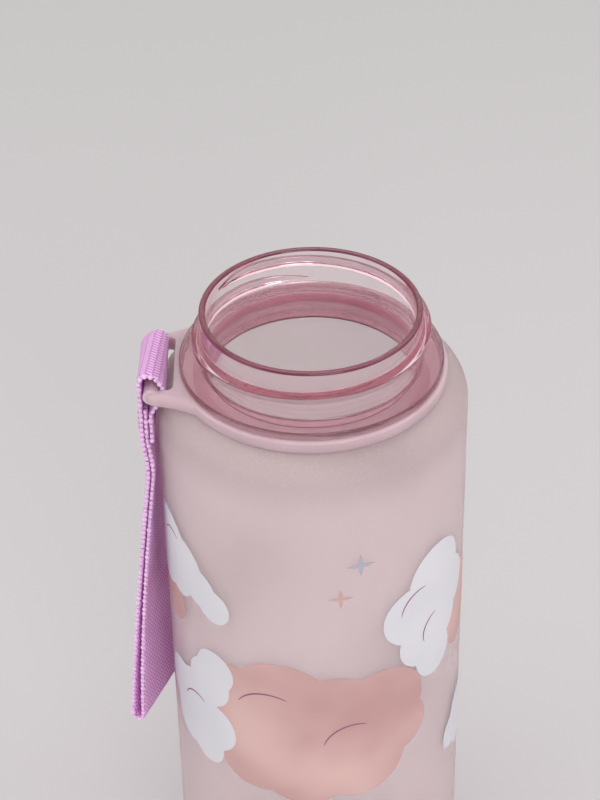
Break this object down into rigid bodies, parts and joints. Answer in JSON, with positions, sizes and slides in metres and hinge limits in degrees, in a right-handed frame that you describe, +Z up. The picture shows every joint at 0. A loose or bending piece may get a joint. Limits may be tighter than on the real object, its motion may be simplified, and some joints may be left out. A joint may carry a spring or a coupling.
{
  "type": "kids water bottle",
  "caption": "Frosted children's drinking bottle with a clear wide threaded neck, a turning neck ring and a swinging webbing carry loop; lid not included.",
  "frame": {"origin": "on the bottle's axis, at the plane of its foot ring", "axes": "+Z up along the bottle's axis to the rim, -X towards the strap lug at rest, -Y towards the front"},
  "size_m": [0.0849, 0.073, 0.19],
  "materials": {
    "bottle": "satin frosted body with a clear gloss neck",
    "ring": "satin moulded",
    "webbing": "ribbed woven webbing",
    "thread": "twisted sewing thread"
  },
  "bodies": {
    "bottle": {"bottle": "bottle"},
    "ring": {"carrier_ring": "ring"},
    "strap": {"strap": "webbing", "strap_stitching": "thread"}
  },
  "joints": [
    {"name": "ring_turn", "type": "hinge", "parent": "bottle", "child": "ring", "pos_m": [0, 0, 0.1742], "axis": [0, 0, 1], "continuous": true},
    {"name": "strap_swing", "type": "hinge", "parent": "ring", "child": "strap", "pos_m": [-0.0368, 0, 0.17392], "axis": [0, 1, 0], "range_deg": [0, 200]}
  ]
}
